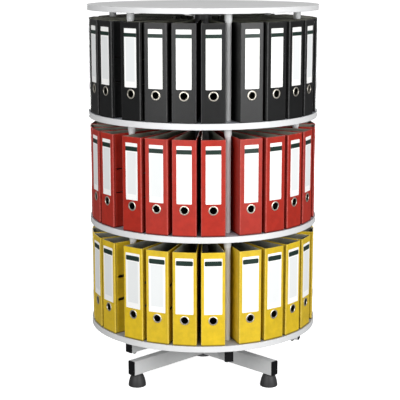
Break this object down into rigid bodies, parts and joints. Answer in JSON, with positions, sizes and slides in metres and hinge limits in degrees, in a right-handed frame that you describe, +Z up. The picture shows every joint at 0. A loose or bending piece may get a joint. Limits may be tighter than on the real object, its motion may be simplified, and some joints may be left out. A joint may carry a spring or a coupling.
{
  "type": "rotary filing cabinet",
  "caption": "Round rotating filing column with open shelves of lever arch files, tube posts and a cross foot on levelling glides.",
  "frame": {"origin": "on the floor, on the column's axis", "axes": "+Z up along the column's axis; -Y is the front"},
  "size_m": [0.8, 0.8, 1.302],
  "materials": {
    "tube_grey": "satin powder coat",
    "cap_black": "moulded",
    "glide_black": "moulded",
    "zinc_steel": "zinc plated",
    "hub_dark": "satin paint",
    "post_grey": "satin powder coat",
    "collar_white": "moulded",
    "bright_steel": "turned",
    "ball_chrome": "polished",
    "cage_plastic": "moulded",
    "edge_white": "smooth edging",
    "shelf_white": "white laminate on board",
    "top_grey": "light grey laminate on board",
    "file_black": "embossed paper on board",
    "file_red": "embossed paper on board",
    "file_yellow": "embossed paper on board",
    "label_paper": "matt paper",
    "finger_ring_metal": "nickel plated",
    "lever_steel": "nickel plated"
  },
  "bodies": {
    "base": {"bearing_lower_race": "bright_steel", "foot_end_caps": "cap_black", "foot_side_tubes": "tube_grey", "foot_through_tube": "tube_grey", "glide_nuts": "zinc_steel", "hub_plate": "hub_dark", "spindle": "bright_steel", "spindle_collar": "bright_steel"},
    "glide_back_right": {"glide_back_right": "glide_black", "glide_stem_back_right": "zinc_steel"},
    "glide_back_left": {"glide_back_left": "glide_black", "glide_stem_back_left": "zinc_steel"},
    "glide_front_left": {"glide_front_left": "glide_black", "glide_stem_front_left": "zinc_steel"},
    "glide_front_right": {"glide_front_right": "glide_black", "glide_stem_front_right": "zinc_steel"},
    "bearing_cage": {"ball_cage": "cage_plastic", "bearing_balls": "ball_chrome"},
    "pull_file_lower": {"pull_file_lower_covers": "file_yellow", "pull_file_lower_finger_ring": "finger_ring_metal", "pull_file_lower_label": "label_paper", "pull_file_lower_lever_mechanism": "lever_steel", "pull_file_lower_spine": "file_yellow"},
    "pull_file_middle": {"pull_file_middle_covers": "file_red", "pull_file_middle_finger_ring": "finger_ring_metal", "pull_file_middle_label": "label_paper", "pull_file_middle_lever_mechanism": "lever_steel", "pull_file_middle_spine": "file_red"},
    "pull_file_upper": {"pull_file_upper_covers": "file_black", "pull_file_upper_finger_ring": "finger_ring_metal", "pull_file_upper_label": "label_paper", "pull_file_upper_lever_mechanism": "lever_steel", "pull_file_upper_spine": "file_black"},
    "column": {"bearing_upper_race": "bright_steel", "carrier_end_caps": "cap_black", "carrier_hub": "tube_grey", "carrier_tubes": "tube_grey", "core_tubes": "post_grey", "file_covers_lower": "file_yellow", "file_covers_middle": "file_red", "file_covers_upper": "file_black", "file_finger_rings": "finger_ring_metal", "file_labels": "label_paper", "file_lever_mechanisms": "lever_steel", "file_spines_lower": "file_yellow", "file_spines_middle": "file_red", "file_spines_upper": "file_black", "post_collars": "collar_white", "posts_lower": "post_grey", "posts_middle": "post_grey", "posts_upper": "post_grey", "rod_inserts": "zinc_steel", "rod_nuts": "zinc_steel", "shelf_edge_strips": "edge_white", "shelf_lower": "shelf_white", "shelf_middle": "shelf_white", "shelf_upper": "shelf_white", "tie_rods": "zinc_steel", "top_disc": "top_grey", "top_edge_strip": "edge_white"}
  },
  "joints": [
    {"name": "column_spin", "type": "hinge", "parent": "base", "child": "column", "pos_m": [0, 0, 0.109], "axis": [0, 0, 1], "continuous": true},
    {"name": "cage_spin", "type": "hinge", "parent": "base", "child": "bearing_cage", "pos_m": [0, 0, 0.109], "axis": [0, 0, 1], "continuous": true},
    {"name": "level_back_right", "type": "slide", "parent": "base", "child": "glide_back_right", "axis": [0, 0, -1], "range_m": [0, 0.012]},
    {"name": "level_back_left", "type": "slide", "parent": "base", "child": "glide_back_left", "axis": [0, 0, -1], "range_m": [0, 0.012]},
    {"name": "level_front_left", "type": "slide", "parent": "base", "child": "glide_front_left", "axis": [0, 0, -1], "range_m": [0, 0.012]},
    {"name": "level_front_right", "type": "slide", "parent": "base", "child": "glide_front_right", "axis": [0, 0, -1], "range_m": [0, 0.012]},
    {"name": "pull_lower", "type": "slide", "parent": "column", "child": "pull_file_lower", "axis": [-0.3859, -0.9225, 0], "range_m": [0, 0.125]},
    {"name": "pull_middle", "type": "slide", "parent": "column", "child": "pull_file_middle", "axis": [-0.1547, -0.988, 0], "range_m": [0, 0.125]},
    {"name": "pull_upper", "type": "slide", "parent": "column", "child": "pull_file_upper", "axis": [0.0854, -0.9963, 0], "range_m": [0, 0.125]}
  ],
  "couplings": [
    {"joint": "cage_spin", "follows": "column_spin", "ratio": 0.5}
  ]
}
